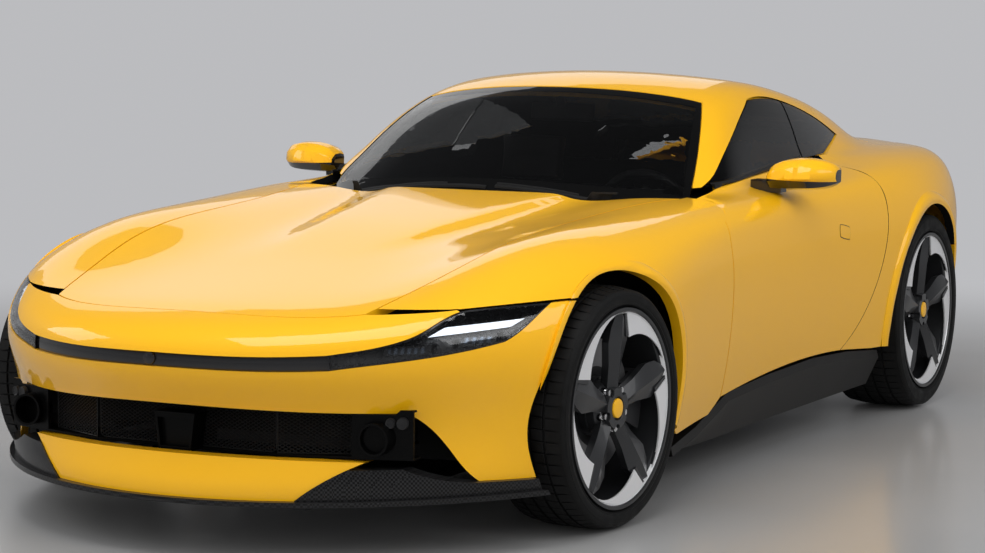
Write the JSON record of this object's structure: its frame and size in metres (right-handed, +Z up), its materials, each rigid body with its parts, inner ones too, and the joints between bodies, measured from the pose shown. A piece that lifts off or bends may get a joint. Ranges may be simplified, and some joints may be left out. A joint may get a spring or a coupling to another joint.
{
  "type": "coupe car",
  "caption": "Low front-engined grand touring coupe with a long hood, slim wedge lamps joined by a black band, a mesh intake, fastback roof and five-spoke wheels",
  "frame": {"origin": "on the ground under the centre of the car's bounding box", "axes": "+X to the nose, +Y to the car's left, +Z up"},
  "size_m": [4.657, 2.052, 1.2217],
  "materials": {
    "body_paint": "gloss yellow paint",
    "glass": "dark tinted glass",
    "lamp": "dark lamp housing under a clear cover",
    "cover": "clear lens",
    "lamp_light": "white light guide",
    "tail_lamp": "red lens",
    "gloss_black": "gloss black",
    "carbon": "clear-coated carbon weave",
    "mesh": "black mesh",
    "tyre": "rubber with a matt side wall",
    "rim": "dark grey painted alloy",
    "knuckle": "cast",
    "suspension": "forged and welded",
    "shell": "dark primer and carpet",
    "liner": "black felt-like plastic",
    "engine": "cast",
    "pipe": "brushed",
    "cabin": "soft black trim",
    "seat": "black leather",
    "seat_base": "black"
  },
  "bodies": {
    "body": {"body_shell": "shell", "console": "cabin", "cowl": "shell", "dashboard": "cabin", "diffuser": "carbon", "engine": "engine", "exhaust": "pipe", "fender_left": "body_paint", "fender_right": "body_paint", "front_bumper": "body_paint", "front_lip": "body_paint", "front_seats": "seat", "front_suspension": "suspension", "grille": "mesh", "headlamps": "lamp", "intake_frame": "lamp", "knuckle_rear_left": "knuckle", "knuckle_rear_right": "knuckle", "lamp_covers": "cover", "light_band": "gloss_black", "nose_panel": "body_paint", "quarter_glass": "glass", "quarter_left": "body_paint", "quarter_right": "body_paint", "rear_bumper": "body_paint", "rear_seats": "seat", "rear_suspension": "suspension", "rear_window": "glass", "roof": "body_paint", "running_lights": "lamp_light", "seat_bases": "seat_base", "sills": "carbon", "splitter": "carbon", "steering_wheel": "cabin", "tail_lamps": "tail_lamp", "undertray": "liner", "wheel_liners": "liner", "windscreen": "glass"},
    "door_left": {"door_left": "body_paint", "door_glass_left": "glass", "mirror_left": "gloss_black"},
    "door_right": {"door_right": "body_paint", "door_glass_right": "glass", "mirror_right": "gloss_black"},
    "hood": {"hood": "body_paint"},
    "boot_lid": {"boot_lid": "body_paint"},
    "steer_left": {"knuckle_front_left": "knuckle"},
    "steer_right": {"knuckle_front_right": "knuckle"},
    "wheel_front_left": {"tyre_front_left": "tyre", "rim_front_left": "rim"},
    "wheel_front_right": {"tyre_front_right": "tyre", "rim_front_right": "rim"},
    "wheel_rear_left": {"tyre_rear_left": "tyre", "rim_rear_left": "rim"},
    "wheel_rear_right": {"tyre_rear_right": "tyre", "rim_rear_right": "rim"}
  },
  "joints": [
    {"name": "door_left_hinge", "type": "hinge", "parent": "body", "child": "door_left", "pos_m": [0.496, 0.914, 0.5], "axis": [0, 0, -1], "range_deg": [0, 65]},
    {"name": "door_right_hinge", "type": "hinge", "parent": "body", "child": "door_right", "pos_m": [0.496, -0.914, 0.5], "axis": [0, 0, 1], "range_deg": [0, 65]},
    {"name": "hood_hinge", "type": "hinge", "parent": "body", "child": "hood", "pos_m": [0.4, 0, 0.806], "axis": [0, -1, 0], "range_deg": [0, 55]},
    {"name": "boot_lid_hinge", "type": "hinge", "parent": "body", "child": "boot_lid", "pos_m": [-1.66, 0, 0.958], "axis": [0, 1, 0], "range_deg": [0, 70]},
    {"name": "steering_left", "type": "hinge", "parent": "body", "child": "steer_left", "pos_m": [1.383, 0.791, 0.34], "axis": [0, 0, 1], "range_deg": [-27, 37]},
    {"name": "steering_right", "type": "hinge", "parent": "body", "child": "steer_right", "pos_m": [1.383, -0.791, 0.34], "axis": [0, 0, 1], "range_deg": [-27, 37]},
    {"name": "wheel_front_left_spin", "type": "hinge", "parent": "steer_left", "child": "wheel_front_left", "pos_m": [1.38605, 0.82587, 0.34], "axis": [0.0872, 0.9962, 0], "continuous": true},
    {"name": "wheel_front_right_spin", "type": "hinge", "parent": "steer_right", "child": "wheel_front_right", "pos_m": [1.37995, -0.82587, 0.34], "axis": [0.0872, 0.9962, 0], "continuous": true},
    {"name": "wheel_rear_left_spin", "type": "hinge", "parent": "body", "child": "wheel_rear_left", "pos_m": [-1.287, 0.8225, 0.354], "axis": [0, 1, 0], "continuous": true},
    {"name": "wheel_rear_right_spin", "type": "hinge", "parent": "body", "child": "wheel_rear_right", "pos_m": [-1.287, -0.8225, 0.354], "axis": [0, 1, 0], "continuous": true}
  ],
  "couplings": [
    {"joint": "steering_right", "follows": "steering_left", "ratio": 1}
  ]
}
